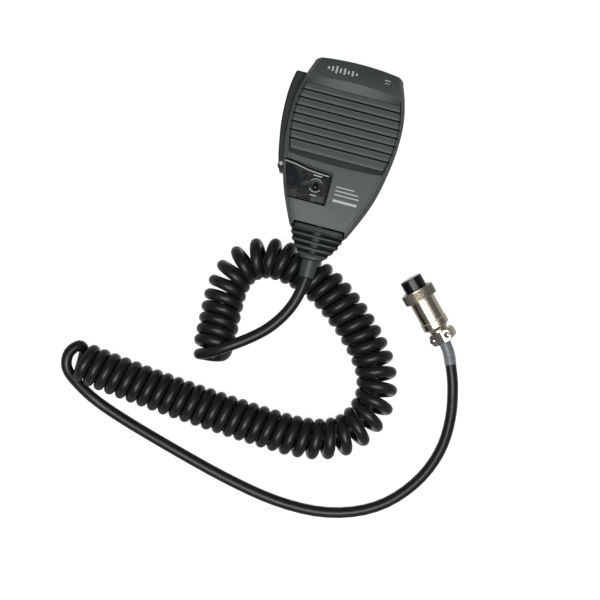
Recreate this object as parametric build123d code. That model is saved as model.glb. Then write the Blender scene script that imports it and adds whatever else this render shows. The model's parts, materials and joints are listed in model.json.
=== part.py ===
from build123d import *
import os
from math import atan, cos, degrees, pi, radians, sin, tan

# Hand microphone with a push-to-talk lever, a curly cord and a screw-on plug.
# Millimetres. +Y runs from the cord end to the top end, +Z is out of the front face,
# and the origin is the middle of the hanger button's face, on which the microphone lies.

# ---- case ---------------------------------------------------------------------------
WALL = 2.3                      # moulded wall
SPLIT_Z = 16.5                  # height of the joint between the two case halves
INNER_Z, CORD_ROOM_Z = 30.0, 31.1  # ceiling inside, and where the cord comes in
TAIL_Y = -45.2                  # cord end of the hard case
TOP_Y = 42.9                    # crown of the top end
TOP_CORNER_Y = 41.35            # where the top arc meets its corners
BEVEL_IN, BEVEL_DOWN = 2.3, 5.0  # bevel along both sides of the front

# Plan outline, right side, from the top corner to the cord end: (half width, y).
SIDE = ((23.6, 38.4), (26.8, 29.0), (28.75, 19.1), (29.15, 9.0), (28.5, -1.0),
        (27.0, -11.0), (25.0, -20.6), (21.7, -30.5), (18.2, -38.6), (15.1, TAIL_Y))

# Cross sections along the case: (y, half width, height of front, height of back).
STATIONS = ((50.0, 19.0, 32.9, 17.0), (42.0, 22.2, 34.4, 10.4), (33.2, 25.6, 36.0, 7.4),
            (20.0, 28.7, 36.3, 7.0), (5.0, 28.9, 36.4, 7.0), (-10.0, 27.2, 36.0, 7.0),
            (-20.6, 25.0, 35.2, 8.0), (-33.0, 20.7, 33.9, 10.9), (-50.0, 12.8, 32.1, 16.2))

# ---- front face ---------------------------------------------------------------------
GRILLE_TOP, GRILLE_END = 27.3, -7.5      # straight ends of the slatted window
GRILLE_FLOOR = 34.2                      # height of the slats' feet
GRILLE_PLATE = 1.9                       # thickness under the slats
GRILLE_GAP = 0.12                        # play round the slatted insert
CREST_TOP = 36.6                         # top plane of the window's sloping sides
SLAT_PITCH, FIRST_GROOVE, GROOVES = 4.32, 23.6, 7
GROOVE_WIDTH = 0.75
PLATE_GROOVE = (1.9, 3.5)                # groove beside the lower plate, in from the edge
PANEL_Z, PANEL_Y = 33.9, -16.0           # height of the gloss panel at its upper edge
PANEL_FALL, PANEL_THICK = 0.085, 2.2     # its slope towards the cord end, and its pocket's depth
KNOB_X, KNOB_Y, KNOB_TRAVEL = -7.1, -23.6, 1.6
MIC_HOLE = (15.3, 35.2)

# ---- push-to-talk lever ---------------------------------------------------------------
LEVER_Z = (12.9, 26.6)
LEVER_PIVOT = (-27.2, -15.8)
LEVER_SWING = 3.0                        # degrees
SWITCH_Y, SWITCH_Z = 4.2, 20.5           # line of the lever's boss and the switch plunger
LEVER_PIN_R, LEVER_PIN_Z = 1.0, (9.9, 27.0)
LUG_R, LUG_TOP = 2.1, 12.4               # lug on the back shell that holds the pin

# ---- top keys ---------------------------------------------------------------------------
KEY_X, KEY_Z, KEY_TRAVEL = 8.5, 20.9, 0.5
KEY_WINDOW = (5.75, 2.45)                # half sizes of the opening for a key
KEY_GAP = 0.3
BOARD_Z = (23.9, 25.5)

# ---- fasteners ------------------------------------------------------------------------
CASE_SCREWS = ((-20.2, 22.0), (20.2, 22.0), (-11.5, -31.0), (11.5, -31.0))
BOARD_POSTS = ((-12.5, 29.0), (13.5, -10.0))
WELL_SEAT, WELL_R = 12.6, 2.5            # where the case screws' heads sit, and their wells
CLEAT_SCREWS = ((-6.3, -36.2), (6.3, -36.2))
HANGER_STEM_R, HANGER_SEAT = 3.3, 7.6

# ---- cord -----------------------------------------------------------------------------
CORD_R = 2.9                             # jacket
COIL_R = 10.9                            # outside of the curly part
EXIT_Z = 28.0                            # height of the cord where it leaves the boot
BOOT_END = -69.5

# Middle of the curly part, from its end near the microphone to its far end.
COIL_ROUTE = ((-38.7, -122.5, 11), (-38.8, -102, 11), (-39.1, -84, 11), (-34.5, -71.5, 11),
              (-24.5, -64.3, 11), (-10.5, -64.0, 11), (5.5, -68.6, 11), (21, -78, 11),
              (37.5, -92.5, 11), (49.5, -108.5, 11), (52, -126.5, 11), (42.5, -144.5, 11),
              (23, -151.8, 11), (-6, -150.8, 11), (-40, -148.4, 11), (-75, -145.2, 11),
              (-104, -141.6, 11))

# Lead from the boot to the curly part.
MIC_LEAD = ((0, BOOT_END, EXIT_Z), (-0.7, -78, 27.4), (-4.4, -89, 23.6),
            (-11.8, -100, 18.6), (-21.6, -109.6, 15.2), (-31, -115.6, 14.2),
            (-38, -119, 13.4))

# Lead from the curly part to the plug, as far as the plug's clear sleeve.
PLUG_LEAD = ((-98.5, -136, 12), (-107.5, -134.2, 9.5), (-112, -142.5, 5.5),
             (-104.8, -151.3, 3.2), (-90.5, -159.8, 2.95), (-71, -167.2, 2.95),
             (-45, -174.6, 2.95), (-15, -182.6, 2.95), (15, -188.2, 2.95),
             (43, -187.6, 2.95), (67.5, -178, 2.95), (84, -160.5, 2.95),
             (92.4, -141, 2.95), (93.2, -122, 2.95), (89.6, -104.6, 3.5),
             (85.3, -94.2, 5.3))

# ---- plug -----------------------------------------------------------------------------
# s is the distance back from the front of the nose, along the plug.
PLUG_FRONT = (53.1, -56.1)
PLUG_TURN = -46.4                        # degrees, from the nose towards the cord, in plan
NOSE_R, NECK_R, BARREL_R, REAR_R, RING_R = 6.0, 6.47, 7.0, 7.3, 9.0
RING_S = (6.6, 12.4)
LIP_S, LIP_R = 11.1, 6.55
RING_BORE_R = 7.55
FLANGE_S, FLANGE_R = (6.9, 7.7), 7.2
RETAINER_S, RETAINER_R = (10.4, 11.05), 7.2
RING_TRAVEL = 2.5
SEAM_S, REAR_S, NECK_END_S, CLAMP_S = 25.2, 28.6, 32.0, (31.6, 38.2)
CLAMP_HALF_WIDTH, CLAMP_HALF_HEIGHT = 6.2, 4.9
CLAMP_TURN = 30.0                        # degrees that the clamp is turned on the axis
CLAMP_SCREW_X, CLAMP_SCREW_S = 4.5, 34.9
CONTACTS, CONTACT_CIRCLE, CONTACT_R = 7, 3.7, 0.75
BARREL_SCREW_S, BARREL_SCREW_R = 13.9, 0.8
SLEEVE_R = 3.3
CORD_START_S, SLEEVE_START_S, EXIT_S = 29.0, 32.2, 41.5


def box(x, y, z):
    """Box from three (low, high) pairs."""
    size = [high - low for low, high in (x, y, z)]
    return Pos(sum(x) / 2, sum(y) / 2, sum(z) / 2) * Box(*size)


def post(x, y, z, radius):
    """Upright cylinder between two heights."""
    return Pos(x, y, sum(z) / 2) * Cylinder(radius, z[1] - z[0])


def bar(start, end, radius):
    """Cylinder between two points."""
    a, b = Vector(*start), Vector(*end)
    return Plane(a, z_dir=b - a) * Pos(0, 0, (b - a).length / 2) * Cylinder(radius, (b - a).length)


def across(y):
    """Upright plane across the case, with its second axis along +Z."""
    return Plane(origin=(0, y, 0), x_dir=(1, 0, 0), z_dir=(0, -1, 0))


def side_profile(points, half_width=60):
    """Prism across the case from an outline of (y, z) points."""
    wire = Polyline(*[(0, y, z) for y, z in points], close=True)
    return extrude(make_face(wire), amount=half_width, dir=(1, 0, 0), both=True)


# ======================================================================================
# Case
# ======================================================================================
def outline(inset=0.0, tail=TAIL_Y):
    """Plan outline of the case, moved in by inset, as a face at z = 0."""
    right = [(w - inset, y) for w, y in SIDE[:-1]] + [(SIDE[-1][0] - inset, tail)]
    left = [(-x, y) for x, y in reversed(right)]
    corner = (22.75 - 0.9 * inset, 40.45 - 0.7 * inset)
    crown = (20.8 - inset, TOP_CORNER_Y - inset)
    edges = [
        Spline(*right),
        Line(right[-1], left[0]),
        Spline(*left),
        ThreePointArc(left[-1], (-corner[0], corner[1]), (-crown[0], crown[1])),
        ThreePointArc((-crown[0], crown[1]), (0, TOP_Y - inset), crown),
        ThreePointArc(crown, corner, right[0]),
    ]
    return make_face(edges)


def roof():
    """Everything under the front surface and its side bevels."""
    faces = []
    for y, w, top, _ in STATIONS:
        flat, foot = w - BEVEL_IN, w - BEVEL_IN + 2.4 * BEVEL_IN
        low = top - 2.4 * BEVEL_DOWN
        points = ((-foot, 0), (-foot, low), (-flat, top), (flat, top), (foot, low), (foot, 0))
        faces.append(across(y) * make_face(Polyline(*points, close=True)))
    return loft(faces)


def belly(inset=0.0):
    """Everything above the rounded back, moved in by inset."""
    faces = []
    for y, w, _, low in STATIONS:
        side, foot, z = w + 1.2 - inset, w - 8 - inset, low + inset
        shape = [
            Bezier((-side, 24), (-side + 0.9, z + 1), (-foot, z)),
            Line((-foot, z), (foot, z)),
            Bezier((foot, z), (side - 0.9, z + 1), (side, 24)),
            Line((side, 24), (side, 45)),
            Line((side, 45), (-side, 45)),
            Line((-side, 45), (-side, 24)),
        ]
        faces.append(across(y) * make_face(shape))
    return loft(faces)


def case_block():
    """Solid case, before it is hollowed and split."""
    return extrude(outline(), amount=45) & roof() & belly()


def case_hollow():
    """Space inside the case, open at the cord end."""
    inner = side_profile([(45, INNER_Z), (-28, INNER_Z), (-30, CORD_ROOM_Z), (-60, CORD_ROOM_Z),
                          (-60, 0), (45, 0)])
    return extrude(outline(WALL, TAIL_Y - 4), amount=45) & inner & belly(WALL)


def window_face(z, top, crown, end, sag, waist, shoulder, foot):
    """Four-sided outline of the slatted window at one height."""
    edges = [
        ThreePointArc((-shoulder, top, z), (0, crown, z), (shoulder, top, z)),
        ThreePointArc((shoulder, top, z), (waist, 10.3, z), (foot, end, z)),
        ThreePointArc((foot, end, z), (0, sag, z), (-foot, end, z)),
        ThreePointArc((-foot, end, z), (-waist, 10.3, z), (-shoulder, top, z)),
    ]
    return make_face(edges)


def window_floor(inset=0.0):
    """Outline of the slatted window at the slats' feet."""
    top, end = GRILLE_TOP - inset, GRILLE_END + inset
    return window_face(GRILLE_FLOOR, top, top + 0.02, end, end - 0.02,
                       26.9 - inset, 24.6 - inset, 24.2 - inset)


def window_cut():
    """Recess for the slatted insert: sloping sides, then straight down to its floor."""
    rim = window_face(CREST_TOP, 30.2, 33.9, -10.4, -12.3, 27.3, 24.3, 24.7)
    slopes = loft([window_floor(), rim], ruled=True)
    return slopes + extrude(window_floor(), amount=-GRILLE_PLATE) + extrude(rim, amount=4)


def groove_notches():
    """Small dark notches in the window's sides, one at each end of every groove."""
    group = []
    for k in range(GROOVES):
        y = FIRST_GROOVE - SLAT_PITCH * k
        half = 26.9 - 2.3 * ((y - 10.3) / 17.0) ** 2
        for side in (-1, 1):
            place = Pos(side * (half + 0.1), y - 0.35, 34.6)
            group.append(place * Rot(0, 0, side * 35) * Box(1.7, 0.9, 2.6))
    return group


def plate_groove():
    """Dark groove that sets the lower plate off from the bevelled rim."""
    outer, inner = PLATE_GROOVE
    ring = extrude(outline(outer, TAIL_Y - 3), amount=45)
    ring -= extrude(outline(inner, TAIL_Y - 3), amount=45)
    depth = side_profile([(-10.2, 34.4), (-50, 30.6), (-50, 45), (-10.2, 45)])
    return ring & depth


def panel_outline(grow=0.0):
    """Gloss panel in plan; grow widens it for its pocket."""
    top = 1.9 * grow
    edges = [
        ThreePointArc((-25.6 - grow / 2, -13.4 + grow), (-13, -15.6 + top), (-1.6, -16.4 + top)),
        ThreePointArc((-1.6, -16.4 + top), (-0.9 + grow, -16.8 + top),
                      (-0.6 + grow, -17.6 + top)),
        Line((-0.6 + grow, -17.6 + top), (-0.7 + grow, -30.4)),
        ThreePointArc((-0.7 + grow, -30.4), (-1.0 + grow, -31.2 - grow / 2),
                      (-1.8, -31.4 - grow / 2)),
        Line((-1.8, -31.4 - grow / 2), (-19.3 - grow / 2, -31.4 - grow / 2)),
        ThreePointArc((-19.3 - grow / 2, -31.4 - grow / 2), (-23.3 - grow / 2, -22.4),
                      (-25.6 - grow / 2, -13.4 + grow)),
    ]
    return make_face(edges)


def panel_slab(low, high):
    """Heights that slope with the lower plate, given below and above the panel's surface."""
    near, far = [(y, PANEL_Z + PANEL_FALL * (y - PANEL_Y)) for y in (-8, -36)]
    return side_profile([(near[0], near[1] + high), (far[0], far[1] + high),
                         (far[0], far[1] + low), (near[0], near[1] + low)])


def slot(x, y, radius, travel, z):
    """Upright slot cut for something that slides along +Y."""
    middle = Pos(x, y + travel / 2, sum(z) / 2)
    return (middle * Box(2 * radius, travel, z[1] - z[0])
            + post(x, y, z, radius) + post(x, y + travel, z, radius))


def lever_window(gap=0.45):
    """Opening in the left wall for the push-to-talk lever."""
    return box((-40, -21.5), (-20.9, 33.4), (LEVER_Z[0] - gap, LEVER_Z[1] + gap))


def front_shell():
    """Front half of the case, with its bosses, posts and pockets."""
    shell = case_block() - case_hollow()
    shell &= box((-60, 60), (-60, 60), (SPLIT_Z, 60))
    room = case_block() & box((-60, 60), (-60, 60), (SPLIT_Z + 0.1, 60))
    tray = extrude(panel_outline(2.4), amount=45) & panel_slab(-3.8, -PANEL_THICK)
    shell += tray & room
    for x, y in CASE_SCREWS:
        shell += post(x, y, (SPLIT_Z, INNER_Z + 1), 2.8) & room
    spring_rib = box((-21.2, -19.4), (12.2, 20.5), (SPLIT_Z, INNER_Z + 1))
    shell += spring_rib & room
    for x, y in BOARD_POSTS:
        shell += post(x, y, (BOARD_Z[1], INNER_Z + 1), 2.2) & room
    for x, y in CLEAT_SCREWS:
        shell += post(x, y, (26.4, CORD_ROOM_Z + 0.6), 2.0) & room
    shell -= window_cut()
    for notch in groove_notches():
        shell -= notch
    shell -= plate_groove()
    shell -= extrude(panel_outline(1.0), amount=45) & panel_slab(-PANEL_THICK, 12)
    shell -= post(*MIC_HOLE, (20, 32.1), 4.3)
    shell -= box((-13.5, 13.5), (-60, -42.4), (20, 45))          # mouth for the boot's first rib
    shell -= lever_window()
    for x in (-KEY_X, KEY_X):
        wide, tall = KEY_WINDOW
        shell -= box((x - wide, x + wide), (37, 50), (KEY_Z - tall, KEY_Z + tall))
    shell -= slot(KNOB_X, KNOB_Y, 1.3, KNOB_TRAVEL, (26, 40))
    shell -= post(*MIC_HOLE, (28, 40), 0.45)
    for x, y in CASE_SCREWS:
        shell -= post(x, y, (SPLIT_Z - 1, 28.0), 1.15)
    for x, y in BOARD_POSTS:
        shell -= post(x, y, (24, 31.0), 0.85)
    for x, y in CLEAT_SCREWS:
        shell -= post(x, y, (25, 30.4), 0.85)
    return shell


def back_shell():
    """Back half of the case, with the hanger boss, screw wells and the lever's lug."""
    shell = case_block() - case_hollow()
    shell &= box((-60, 60), (-60, 60), (0, SPLIT_Z - 0.02))
    room = case_block() & box((-60, 60), (-60, 60), (0, SPLIT_Z - 0.02))
    shell += post(0, 0, (7, 11.5), 5.2) & room
    for x, y in CASE_SCREWS:
        shell += post(x, y, (0, SPLIT_Z - 0.02), 3.4) & room
    lug_x, lug_y = LEVER_PIVOT
    lug_z = (LEVER_PIN_Z[0], LUG_TOP)
    shell += box((lug_x, -21.5), (lug_y - LUG_R, lug_y + LUG_R), lug_z)
    shell += post(lug_x, lug_y, lug_z, LUG_R)
    shell -= lever_window()
    shell -= post(lug_x, lug_y, (9.0, 13.0), LEVER_PIN_R)
    shell -= post(0, 0, (5, 13), 1.6)
    shell -= post(0, 0, (5, HANGER_SEAT), HANGER_STEM_R + 0.05)
    for x, y in CASE_SCREWS:
        shell -= post(x, y, (0, 20), 1.4)
        shell -= post(x, y, (0, WELL_SEAT), WELL_R)
    return shell


def grille():
    """Slatted insert: seven dark grooves between eight shallow louvres."""
    plate = extrude(window_floor(GRILLE_GAP), amount=-GRILLE_PLATE)
    crests = []
    edges = [GRILLE_TOP] + [FIRST_GROOVE - SLAT_PITCH * k for k in range(GROOVES)] + [GRILLE_END]
    for k, (high, low) in enumerate(zip(edges[:-1], edges[1:])):
        top = high - (GROOVE_WIDTH / 2 if k else GRILLE_GAP)
        end = low + (GROOVE_WIDTH / 2 if k < GROOVES else GRILLE_GAP)
        crests.append(side_profile([(top, 32.4), (top, 34.55), (top - 0.25, 34.75),
                                    (top - 1.2, 35.1), (end + 0.35, 34.8), (end, 34.45),
                                    (end, 32.4)]))
    slats = extrude(window_floor(GRILLE_GAP), amount=1.4)
    slats += extrude(window_floor(GRILLE_GAP), amount=-1.2)
    return plate + (slats & Compound(children=crests))


def switch_panel():
    """Gloss black insert round the lock switch."""
    panel = extrude(panel_outline(), amount=45) & panel_slab(0.02 - PANEL_THICK, 0)
    panel &= case_block()
    return panel - slot(KNOB_X, KNOB_Y, 1.85, KNOB_TRAVEL, (26, 40))


def lock_knob():
    """Small domed knob of the lock switch, with its stem."""
    dome = Pos(KNOB_X, KNOB_Y, 33.0) * Sphere(1.5) & box((-20, 20), (-40, 0), (33.0, 40))
    foot = post(KNOB_X, KNOB_Y, (31.6, 33.0), 1.5)
    return dome + foot + post(KNOB_X, KNOB_Y, (28.1, 31.7), 0.95)


def lock_switch():
    """Slide switch under the lock knob."""
    body = box((KNOB_X - 2.4, KNOB_X + 2.4), (KNOB_Y - 4.2, KNOB_Y + 5.8), (BOARD_Z[1], 28.9))
    return body - slot(KNOB_X, KNOB_Y, 1.3, KNOB_TRAVEL, (27.6, 30))


# ======================================================================================
# Push-to-talk
# ======================================================================================
def ptt_lever():
    """Curved lever along the left side, with its switch boss."""
    outer = Spline((-31.4, 32.9), (-32.7, 26), (-33.2, 15), (-32.5, 4), (-30.9, -6),
                   (-28.9, -15), (-27.1, -20.2))
    inner = Spline((-23.6, -20.2), (-25.2, -10), (-26.3, 2), (-26.4, 18), (-25.5, 32.9))
    face = make_face([outer, Line((-27.1, -20.2), (-23.6, -20.2)), inner,
                      Line((-25.5, 32.9), (-31.4, 32.9))])
    body = Pos(0, 0, LEVER_Z[0]) * extrude(face, amount=LEVER_Z[1] - LEVER_Z[0])
    body = fillet(body.edges().filter_by(Axis.Z).sort_by(Axis.Y)[-2:], 1.0)
    upper_edges = [e for e in body.edges() if abs(e.center().Z - LEVER_Z[1]) < 0.01]
    body = fillet([e for e in upper_edges if e.center().X < -29], 0.7)
    body += box((-27.5, -24.2), (SWITCH_Y - 1.2, SWITCH_Y + 1.2), (18.4, 22.6))
    body += post(-24.2, SWITCH_Y, (18.4, 22.6), 1.2)
    return body - post(*LEVER_PIVOT, (0, 40), LEVER_PIN_R + 0.08)


def ptt_pin():
    """Steel pivot pin of the lever."""
    return post(*LEVER_PIVOT, LEVER_PIN_Z, LEVER_PIN_R)


def ptt_spring():
    """Leaf spring that pushes the lever out."""
    bend = Polyline((-21.25, 18.0), (-21.6, 18.0), (-21.6, 12.3), (-26.1, 7.3), (-25.85, 7.0),
                    (-21.25, 12.1), close=True)
    return Pos(0, 0, 17.6) * extrude(make_face(bend), amount=5.0)


def ptt_switch():
    """Snap-action switch on the board, facing the lever."""
    body = box((-21.0, -14.6), (SWITCH_Y - 6.4, SWITCH_Y + 6.4), (17.5, BOARD_Z[0]))
    return body - bar((-22, SWITCH_Y, SWITCH_Z), (-17.6, SWITCH_Y, SWITCH_Z), 1.08)


def ptt_plunger():
    """Plunger of the snap-action switch."""
    return bar((-22.7, SWITCH_Y, SWITCH_Z), (-19.2, SWITCH_Y, SWITCH_Z), 1.0)


# ======================================================================================
# Top keys
# ======================================================================================
def key_button(x):
    """Key on the top end: a cap in its window and a flange behind the wall."""
    wide, tall = [half - KEY_GAP for half in KEY_WINDOW]
    cap = box((x - wide, x + wide), (38.6, 43.5), (KEY_Z - tall, KEY_Z + tall))
    cap = fillet(cap.edges().group_by(Axis.Y)[-1], 0.5)
    return cap + box((x - 6.3, x + 6.3), (38.4, 39.6), (KEY_Z - 2.9, KEY_Z + 2.9))


def key_switch(x):
    """Small push switch behind a key."""
    body = box((x - 3, x + 3), (33.2, 36.9), (BOARD_Z[0] - 6, BOARD_Z[0]))
    return body - bar((x, 34.6, KEY_Z), (x, 38, KEY_Z), 1.78)


def key_plunger(x):
    """Plunger of a small push switch, touching its key."""
    return bar((x, 35.3, KEY_Z), (x, 38.4, KEY_Z), 1.7)


# ======================================================================================
# Inside
# ======================================================================================
def circuit_board():
    """Board that carries the switches and the capsule."""
    board = box((-16, 16.4), (-29, 37.6), BOARD_Z)
    board -= box((-30, -8.2), (-40, -27.9), (20, 30))
    board -= box((7.6, 30), (-40, -26.5), (20, 30))
    for x, y in BOARD_POSTS:
        board -= post(x, y, (20, 30), 1.0)
    return board


def mic_capsule():
    """Electret capsule behind the sound hole."""
    return post(*MIC_HOLE, (26.6, 31.6), 3.0)


def capsule_holder():
    """Rubber cup round the capsule, open to the sound hole."""
    cup = post(*MIC_HOLE, (BOARD_Z[1], 32.0), 4.2)
    return cup - post(*MIC_HOLE, (26.6, 31.6), 3.0) - post(*MIC_HOLE, (31, 33), 1.0)


def screws(places, seat, end, head_r, head_h, shank_r):
    """Cross-head screws driven towards +Z, one solid each."""
    group = []
    drive = (seat - head_h - 0.5, seat - head_h + 0.5)
    for x, y in places:
        screw = post(x, y, (seat - head_h, seat), head_r) + post(x, y, (seat, end), shank_r)
        screw -= box((x - 0.25, x + 0.25), (y - 1.2, y + 1.2), drive)
        screw -= box((x - 1.2, x + 1.2), (y - 0.25, y + 0.25), drive)
        group.append(screw)
    return Compound(children=group)


def hanger_button():
    """Round button on the back that drops into a hanger clip."""
    profile = Polyline((0, 0), (5.9, 0), (6.6, 0.7), (6.6, 1.5), (6.1, 2.0), (HANGER_STEM_R, 2.2),
                       (HANGER_STEM_R, HANGER_SEAT), (0, HANGER_SEAT), close=True)
    return revolve(make_face(Plane.XZ * profile), Axis.Z) - post(0, 0, (3.2, 8), 1.25)


def hanger_screw():
    """Screw from inside the case into the hanger button."""
    return post(0, 0, (11.5, 13.3), 2.7) + post(0, 0, (3.3, 11.6), 1.25)


def cord_boot():
    """Ribbed rubber boot and its tapering sleeve, in one moulding."""
    def taper(shrink):
        rows = ((TAIL_Y - 0.1, 29.4, 16.2, 24.1, 6.0), (-52.0, 24.2, 13.4, 25.3, 5.4),
                (-57.4, 16.4, 10.8, 26.9, 4.6), (-60.3, 9.9, 9.8, 27.9, 4.4))
        faces = [across(y) * Pos(0, z) * RectangleRounded(w - 2 * shrink, h - 2 * shrink, r - shrink)
                 for y, w, h, z, r in rows]
        return loft(faces, ruled=True)

    ribs = ((-45.9, -45.2), (-48.9, -47.5), (-52.2, -50.7), (-55.5, -53.8), (-60.4, -56.8))
    boot = taper(1.5)
    whole = taper(0)
    for y in ribs:
        boot += whole & box((-30, 30), y, (0, 60))
    boot += box((-13.1, 13.1), (-45.9, -43.1), (20.6, 31.7))
    plug = across(-45.3) * Pos(0, 24.6) * RectangleRounded(21.0, 10.6, 4.4)
    boot += extrude(plug, amount=-6.5, dir=(0, -1, 0))
    sleeve_start = Plane(origin=(0, -60.0, EXIT_Z), z_dir=(0, -1, 0))
    boot += sleeve_start * Pos(0, 0, 4.75) * Cone(4.5, 3.9, 9.5)
    return boot - bar((0, -30, EXIT_Z), (0, -80, EXIT_Z), CORD_R + 0.05)


def cord_inner():
    """End of the cord inside the boot and the case."""
    return bar((0, -33.2, EXIT_Z), (0, BOOT_END, EXIT_Z), CORD_R)


def cord_cleat():
    """Bar that grips the cord inside the case."""
    bar_body = box((-8.6, 8.6), (-38.2, -34.2), (23.4, 26.35))
    bar_body -= bar((0, -30, EXIT_Z), (0, -50, EXIT_Z), CORD_R + 0.02)
    for x, y in CLEAT_SCREWS:
        bar_body -= post(x, y, (20, 30), 0.9)
    return bar_body


def inner_wires():
    """Conductors from the end of the cord to the board, one solid each."""
    group = []
    for k in range(4):
        x = -1.8 + 1.2 * k
        corner, foot = (x, -27.6, EXIT_Z), (x, -27.6, BOARD_Z[1] + 0.02)
        route = FilletPolyline((x, -33.15, EXIT_Z), corner, foot, radius=1.2)
        group.append(sweep(Plane(origin=route @ 0, z_dir=route % 0) * Circle(0.45), path=route))
    return Compound(children=group)


# ======================================================================================
# Cord
# ======================================================================================
def bends(points):
    """Radius of the arc at each inner point: 0.45 of the shorter run over tan(half turn)."""
    radii = []
    for a, b, c in zip(points[:-2], points[1:-1], points[2:]):
        before, after = Vector(*b) - Vector(*a), Vector(*c) - Vector(*b)
        turn = radians(before.get_angle(after))
        radii.append(0.45 * min(before.length, after.length) / tan(turn / 2))
    return radii


def tube(points, radius, bore=0.0, radii=None):
    """Tube along straight runs joined by tangent arcs."""
    path = FilletPolyline(*points, radius=radii or bends(points))
    section = Circle(radius) - Circle(bore) if bore else Circle(radius)
    return sweep(Plane(origin=path @ 0, z_dir=path % 0) * section, path=path), path.length


# ======================================================================================
# Plug
# ======================================================================================
clamp_reach = (CLAMP_HALF_WIDTH * sin(radians(CLAMP_TURN))
               + CLAMP_HALF_HEIGHT * cos(radians(CLAMP_TURN)))
plug_tilt = atan((RING_R - clamp_reach) / (CLAMP_S[1] - RING_S[1]))
turn = radians(PLUG_TURN)
plug_axis = (cos(turn) * cos(plug_tilt), sin(turn) * cos(plug_tilt), -sin(plug_tilt))
plug_side = (-sin(turn), cos(turn), 0)
front_z = RING_R * cos(plug_tilt) + RING_S[1] * sin(plug_tilt) + 0.02
PLUG = Plane(origin=(*PLUG_FRONT, front_z), x_dir=plug_side, z_dir=plug_axis)


def on_axis(s):
    """Point on the plug's axis."""
    return tuple(PLUG.from_local_coords((0, 0, s)))


def turned(points):
    """Solid of revolution about the plug's axis from (radius, s) points."""
    profile = make_face(Plane.XZ * Polyline(*points, close=True))
    return PLUG * revolve(profile, Axis.Z)


def contact_places():
    """A circle of contacts round one in the middle."""
    angles = [radians(90 + 360 / CONTACTS * (k + 0.5)) for k in range(CONTACTS)]
    return [(0, 0)] + [(CONTACT_CIRCLE * cos(a), CONTACT_CIRCLE * sin(a)) for a in angles]


def plug_insert():
    """Black nose that carries the contacts, with its keyway."""
    nose = turned(((0, 0), (NOSE_R - 0.4, 0), (NOSE_R, 0.4), (NOSE_R, 6.85), (5.5, 6.85),
                   (5.5, 14.0), (0, 14.0)))
    nose -= PLUG * Pos(0, NOSE_R, 3.2) * Box(1.8, 1.8, 6.6)
    for x, y in contact_places():
        nose -= PLUG * Pos(x, y, 7) * Cylinder(CONTACT_R + 0.05, 16)
    return nose


def plug_contacts():
    """Socket contacts, one solid each."""
    group = []
    for x, y in contact_places():
        pin = Pos(x, y, 8.7) * Cylinder(CONTACT_R, 15.4) - Pos(x, y, 3.6) * Cylinder(0.5, 6.2)
        group.append(PLUG * pin)
    return Compound(children=group)


def plug_barrel():
    """Nickel barrel with the neck that the ring turns on."""
    barrel = turned(((5.55, FLANGE_S[0]), (FLANGE_R, FLANGE_S[0]), (FLANGE_R, FLANGE_S[1]),
                     (NECK_R, FLANGE_S[1]), (NECK_R, 12.55), (BARREL_R - 0.3, 12.55),
                     (BARREL_R, 12.85), (BARREL_R, SEAM_S - 0.15), (BARREL_R - 0.15, SEAM_S),
                     (6.2, SEAM_S), (6.2, 15.0), (5.55, 15.0)))
    hole = Pos(0, -6.2, BARREL_SCREW_S) * Rot(90, 0, 0) * Cylinder(BARREL_SCREW_R + 0.05, 3)
    return barrel - PLUG * hole


def barrel_screw():
    """Small screw that locks the nose in the barrel, on the underside."""
    return PLUG * Pos(0, -6.2, BARREL_SCREW_S) * Rot(90, 0, 0) * Cylinder(BARREL_SCREW_R, 1.1)


def saddle(low, high):
    """Half of the cord clamp between two local heights."""
    mid, length = sum(CLAMP_S) / 2, CLAMP_S[1] - CLAMP_S[0]
    half = Pos(0, (low + high) / 2, mid) * Box(2 * CLAMP_HALF_WIDTH, high - low, length)
    half = fillet(half.edges().filter_by(Axis.Y), 2.4)
    return half - Pos(0, 0, mid) * Cylinder(SLEEVE_R + 0.05, length + 2)


def plug_rear_shell():
    """Back part of the plug, with the fixed half of the cord clamp."""
    bore = SLEEVE_R + 0.05
    shell = turned(((5.2, 20.0), (6.12, 20.0), (6.12, SEAM_S + 0.02),
                    (REAR_R - 0.15, SEAM_S + 0.02), (REAR_R, SEAM_S + 0.2), (REAR_R, REAR_S),
                    (5.3, 30.2), (4.9, 30.6), (4.9, NECK_END_S), (bore, NECK_END_S),
                    (bore, 29.8), (5.2, 27.6)))
    shell -= PLUG * Rot(0, 0, CLAMP_TURN) * Pos(0, 5.3, 33) * Box(20, 10, 2.8)
    lower = saddle(-CLAMP_HALF_HEIGHT, -0.35)
    for x in (-CLAMP_SCREW_X, CLAMP_SCREW_X):
        lower -= Pos(x, -2, CLAMP_SCREW_S) * Rot(90, 0, 0) * Cylinder(0.95, 10)
    return shell + PLUG * Rot(0, 0, CLAMP_TURN) * lower


def clamp_saddle():
    """Loose half of the cord clamp."""
    upper = saddle(0.35, 4.3)
    for x in (-CLAMP_SCREW_X, CLAMP_SCREW_X):
        upper -= Pos(x, 2, CLAMP_SCREW_S) * Rot(90, 0, 0) * Cylinder(1.1, 10)
    return PLUG * Rot(0, 0, CLAMP_TURN) * upper


def clamp_screws():
    """Two slotted screws of the cord clamp, one solid each."""
    group = []
    for x in (-CLAMP_SCREW_X, CLAMP_SCREW_X):
        shank = Pos(x, 0.4, CLAMP_SCREW_S) * Rot(90, 0, 0) * Cylinder(0.9, 8.4)
        head = Pos(x, 4.95, CLAMP_SCREW_S) * Rot(90, 0, 0) * Cylinder(1.7, 1.3)
        notch = Pos(x, 5.6, CLAMP_SCREW_S) * Rot(0, 35, 0) * Box(5, 0.9, 0.5)
        group.append(PLUG * Rot(0, 0, CLAMP_TURN) * (shank + head - notch))
    return Compound(children=group)


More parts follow.
